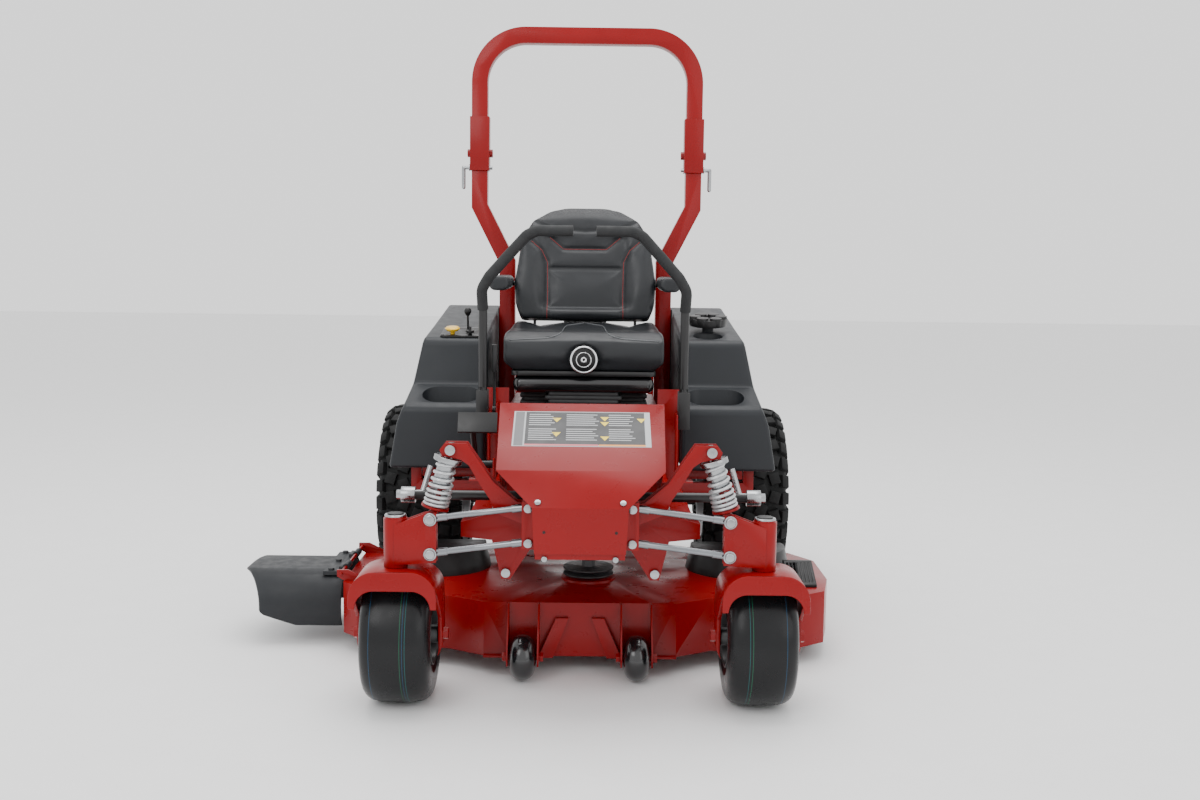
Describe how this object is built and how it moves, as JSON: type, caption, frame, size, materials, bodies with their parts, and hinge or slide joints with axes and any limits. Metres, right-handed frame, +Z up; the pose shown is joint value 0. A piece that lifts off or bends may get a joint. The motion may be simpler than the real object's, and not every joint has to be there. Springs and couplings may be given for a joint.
{
  "type": "zero turn mower",
  "caption": "Ride-on zero turn mower with sprung front casters, side-discharge deck, lap-bar steering, suspension seat and folding roll bar.",
  "frame": {"origin": "on the ground, at the bottom centre of the bounding box", "axes": "+Z up, +Y from the front casters to the engine at the rear, +X to the machine's left, so the discharge chute points to -X"},
  "size_m": [1.635, 1.955, 1.812],
  "materials": {
    "red_paint": "gloss powder coat",
    "charcoal_plastic": "fine grain moulding",
    "black_plastic": "satin",
    "black_steel": "satin black paint",
    "black_rubber": "matte",
    "tyre_rubber": "matte",
    "rim_paint": "satin black",
    "rim_silver": "satin silver",
    "engine_casting": "painted casting",
    "zinc": "bright zinc",
    "spring_steel": "silver coat",
    "blade_steel": "black oxide",
    "seat_vinyl": "grained vinyl",
    "yellow_plastic": "gloss"
  },
  "bodies": {
    "chassis": {"main_frame": "red_paint", "front_head": "red_paint", "front_cowl": "red_paint", "floor_pan": "red_paint", "floor_mat": "black_rubber", "fender_right": "charcoal_plastic", "fender_left": "charcoal_plastic", "control_panel": "black_plastic", "rops_posts": "red_paint", "engine_block": "engine_casting", "engine_shroud": "black_plastic", "transaxles": "engine_casting", "front_dampers": "zinc", "frame_fasteners": "zinc", "seat_boot": "black_rubber", "front_spring_right": "spring_steel", "front_spring_left": "spring_steel"},
    "deck": {"deck_shell": "red_paint", "deck_covers": "black_plastic"},
    "seat": {"seat_pan": "black_steel", "seat_cushion": "seat_vinyl"},
    "backrest": {"backrest": "seat_vinyl"},
    "roll_bar": {"rops_hoop": "red_paint"},
    "lower_arm_right": {"lower_arm_right": "zinc"},
    "upper_arm_right": {"upper_arm_right": "zinc"},
    "caster_housing_right": {"caster_housing_right": "red_paint"},
    "caster_fork_right": {"caster_fork_right": "red_paint"},
    "lever_base_right": {"lever_base_right": "black_steel"},
    "lap_bar_right": {"lap_bar_right": "black_steel"},
    "lock_pin_right": {"lock_pin_right": "zinc"},
    "armrest_right": {"armrest_right": "black_plastic"},
    "caster_wheel_right": {"caster_tyre_right": "tyre_rubber", "caster_rim_right": "rim_paint"},
    "drive_wheel_right": {"drive_tyre_right": "tyre_rubber", "drive_rim_right": "rim_silver"},
    "gauge_roller_right": {"gauge_roller_right": "black_rubber"},
    "lower_arm_left": {"lower_arm_left": "zinc"},
    "upper_arm_left": {"upper_arm_left": "zinc"},
    "caster_housing_left": {"caster_housing_left": "red_paint"},
    "caster_fork_left": {"caster_fork_left": "red_paint"},
    "lever_base_left": {"lever_base_left": "black_steel"},
    "lap_bar_left": {"lap_bar_left": "black_steel"},
    "lock_pin_left": {"lock_pin_left": "zinc"},
    "armrest_left": {"armrest_left": "black_plastic"},
    "caster_wheel_left": {"caster_tyre_left": "tyre_rubber", "caster_rim_left": "rim_paint"},
    "drive_wheel_left": {"drive_tyre_left": "tyre_rubber", "drive_rim_left": "rim_silver"},
    "gauge_roller_left": {"gauge_roller_left": "black_rubber"},
    "weight_knob": {"weight_knob": "black_plastic"},
    "pto_knob": {"pto_knob": "yellow_plastic"},
    "choke_knob": {"choke_knob": "black_plastic"},
    "throttle_lever": {"throttle_lever": "black_plastic"},
    "height_dial": {"height_dial": "black_plastic"},
    "brake_lever": {"brake_lever": "black_steel"},
    "lift_pedal": {"lift_pedal": "black_steel"},
    "blade_right": {"blade_right": "blade_steel"},
    "blade_centre": {"blade_centre": "blade_steel"},
    "blade_left": {"blade_left": "blade_steel"},
    "discharge_chute": {"discharge_chute": "black_rubber"}
  },
  "joints": [
    {"name": "suspension_right", "type": "hinge", "parent": "chassis", "child": "lower_arm_right", "pos_m": [0.0065, -0.9125, 0.415], "axis": [0, 1, 0], "range_deg": [-2, 10], "stiffness_Nm_per_rad": 3000, "springref_deg": -2.55, "deforming": ["front_spring_right"]},
    {"name": "upper_arm_right_pivot", "type": "hinge", "parent": "chassis", "child": "upper_arm_right", "pos_m": [0.0065, -0.9125, 0.497], "axis": [0, 1, 0], "range_deg": [-2, 10]},
    {"name": "housing_right_pivot", "type": "hinge", "parent": "lower_arm_right", "child": "caster_housing_right", "pos_m": [-0.2205, -0.9125, 0.386], "axis": [0, 1, 0], "range_deg": [-10, 2]},
    {"name": "caster_swivel_right", "type": "hinge", "parent": "caster_housing_right", "child": "caster_fork_right", "pos_m": [-0.3045, -0.8975, 0.4], "axis": [0, 0, 1], "continuous": true},
    {"name": "caster_spin_right", "type": "hinge", "parent": "caster_fork_right", "child": "caster_wheel_right", "pos_m": [-0.3045, -0.8125, 0.165], "axis": [1, 0, 0], "continuous": true},
    {"name": "drive_spin_right", "type": "hinge", "parent": "chassis", "child": "drive_wheel_right", "pos_m": [-0.399, 0.4495, 0.29], "axis": [1, 0, 0], "continuous": true},
    {"name": "lever_right_drive", "type": "hinge", "parent": "chassis", "child": "lever_base_right", "pos_m": [-0.1545, -0.2675, 0.622], "axis": [1, 0, 0], "range_deg": [-8, 14], "stiffness_Nm_per_rad": 90},
    {"name": "lap_bar_right_open", "type": "hinge", "parent": "lever_base_right", "child": "lap_bar_right", "pos_m": [-0.1545, -0.2675, 0.69], "axis": [0, -1, 0], "range_deg": [0, 30]},
    {"name": "lock_pin_right_pull", "type": "slide", "parent": "roll_bar", "child": "lock_pin_right", "axis": [-1, 0, 0], "range_m": [0, 0.066]},
    {"name": "armrest_right_flip", "type": "hinge", "parent": "backrest", "child": "armrest_right", "pos_m": [-0.1295, 0.2665, 0.993], "axis": [-1, 0, 0], "range_deg": [0, 85]},
    {"name": "gauge_roller_right_spin", "type": "hinge", "parent": "deck", "child": "gauge_roller_right", "pos_m": [-0.0175, -0.6725, 0.062], "axis": [1, 0, 0], "continuous": true},
    {"name": "suspension_left", "type": "hinge", "parent": "chassis", "child": "lower_arm_left", "pos_m": [0.2485, -0.9125, 0.415], "axis": [0, -1, 0], "range_deg": [-2, 10], "stiffness_Nm_per_rad": 3000, "springref_deg": -2.55, "deforming": ["front_spring_left"]},
    {"name": "upper_arm_left_pivot", "type": "hinge", "parent": "chassis", "child": "upper_arm_left", "pos_m": [0.2485, -0.9125, 0.497], "axis": [0, -1, 0], "range_deg": [-2, 10]},
    {"name": "housing_left_pivot", "type": "hinge", "parent": "lower_arm_left", "child": "caster_housing_left", "pos_m": [0.4755, -0.9125, 0.386], "axis": [0, -1, 0], "range_deg": [-10, 2]},
    {"name": "caster_swivel_left", "type": "hinge", "parent": "caster_housing_left", "child": "caster_fork_left", "pos_m": [0.5595, -0.8975, 0.4], "axis": [0, 0, 1], "continuous": true},
    {"name": "caster_spin_left", "type": "hinge", "parent": "caster_fork_left", "child": "caster_wheel_left", "pos_m": [0.5595, -0.8125, 0.165], "axis": [1, 0, 0], "continuous": true},
    {"name": "drive_spin_left", "type": "hinge", "parent": "chassis", "child": "drive_wheel_left", "pos_m": [0.654, 0.4495, 0.29], "axis": [1, 0, 0], "continuous": true},
    {"name": "lever_left_drive", "type": "hinge", "parent": "chassis", "child": "lever_base_left", "pos_m": [0.4095, -0.2675, 0.622], "axis": [1, 0, 0], "range_deg": [-8, 14], "stiffness_Nm_per_rad": 90},
    {"name": "lap_bar_left_open", "type": "hinge", "parent": "lever_base_left", "child": "lap_bar_left", "pos_m": [0.4095, -0.2675, 0.69], "axis": [0, 1, 0], "range_deg": [0, 30]},
    {"name": "lock_pin_left_pull", "type": "slide", "parent": "roll_bar", "child": "lock_pin_left", "axis": [1, 0, 0], "range_m": [0, 0.066]},
    {"name": "armrest_left_flip", "type": "hinge", "parent": "backrest", "child": "armrest_left", "pos_m": [0.3845, 0.2665, 0.993], "axis": [-1, 0, 0], "range_deg": [0, 85]},
    {"name": "gauge_roller_left_spin", "type": "hinge", "parent": "deck", "child": "gauge_roller_left", "pos_m": [0.2725, -0.6725, 0.062], "axis": [1, 0, 0], "continuous": true},
    {"name": "roll_bar_fold", "type": "hinge", "parent": "chassis", "child": "roll_bar", "pos_m": [0.1275, 0.3925, 1.411], "axis": [-1, 0, 0], "range_deg": [0, 110]},
    {"name": "seat_slide", "type": "slide", "parent": "chassis", "child": "seat", "axis": [0, -1, 0], "range_m": [-0.01, 0.06]},
    {"name": "backrest_recline", "type": "hinge", "parent": "seat", "child": "backrest", "pos_m": [0.1275, 0.2695, 0.795], "axis": [-1, 0, 0], "range_deg": [0, 8]},
    {"name": "weight_knob_turn", "type": "hinge", "parent": "seat", "child": "weight_knob", "pos_m": [0.1275, -0.1825, 0.785], "axis": [0, 1, 0], "continuous": true},
    {"name": "pto_knob_pull", "type": "slide", "parent": "chassis", "child": "pto_knob", "axis": [0, -0.1461, 0.9893], "range_m": [0, 0.012]},
    {"name": "choke_knob_turn", "type": "hinge", "parent": "chassis", "child": "choke_knob", "pos_m": [-0.2135, -0.0175, 0.84035], "axis": [0, -0.1461, 0.9893], "range_deg": [0, 60]},
    {"name": "throttle_swing", "type": "hinge", "parent": "chassis", "child": "throttle_lever", "pos_m": [-0.2255, 0.04271, 0.827], "axis": [1, 0, 0], "range_deg": [-16, 16]},
    {"name": "height_dial_turn", "type": "hinge", "parent": "chassis", "child": "height_dial", "pos_m": [0.5055, 0.0775, 0.876], "axis": [0, -0.1461, 0.9893], "range_deg": [0, 300]},
    {"name": "brake_lever_pull", "type": "hinge", "parent": "chassis", "child": "brake_lever", "pos_m": [-0.1265, -0.2075, 0.64], "axis": [-1, 0, 0], "range_deg": [0, 25]},
    {"name": "deck_lift", "type": "slide", "parent": "chassis", "child": "deck", "axis": [0, 0, 1], "range_m": [0, 0.088]},
    {"name": "lift_pedal_press", "type": "hinge", "parent": "chassis", "child": "lift_pedal", "pos_m": [-0.1345, -0.3425, 0.505], "axis": [1, 0, 0], "range_deg": [0, 30]},
    {"name": "blade_right_spin", "type": "hinge", "parent": "deck", "child": "blade_right", "pos_m": [-0.2845, -0.2025, 0.1], "axis": [0, 0, 1], "continuous": true},
    {"name": "blade_centre_spin", "type": "hinge", "parent": "deck", "child": "blade_centre", "pos_m": [0.1475, -0.3425, 0.1], "axis": [0, 0, 1], "continuous": true},
    {"name": "blade_left_spin", "type": "hinge", "parent": "deck", "child": "blade_left", "pos_m": [0.5795, -0.2025, 0.1], "axis": [0, 0, 1], "continuous": true},
    {"name": "chute_flip", "type": "hinge", "parent": "deck", "child": "discharge_chute", "pos_m": [-0.5305, -0.2325, 0.207], "axis": [0, 1, 0], "range_deg": [0, 85]}
  ],
  "couplings": [
    {"joint": "upper_arm_right_pivot", "follows": "suspension_right", "ratio": 1},
    {"joint": "housing_right_pivot", "follows": "suspension_right", "ratio": -1},
    {"joint": "upper_arm_left_pivot", "follows": "suspension_left", "ratio": 1},
    {"joint": "housing_left_pivot", "follows": "suspension_left", "ratio": -1},
    {"joint": "lift_pedal_press", "follows": "deck_lift", "rad_per_m": 5.88},
    {"joint": "blade_right_spin", "follows": "blade_centre_spin", "ratio": 1},
    {"joint": "blade_left_spin", "follows": "blade_centre_spin", "ratio": 1}
  ]
}
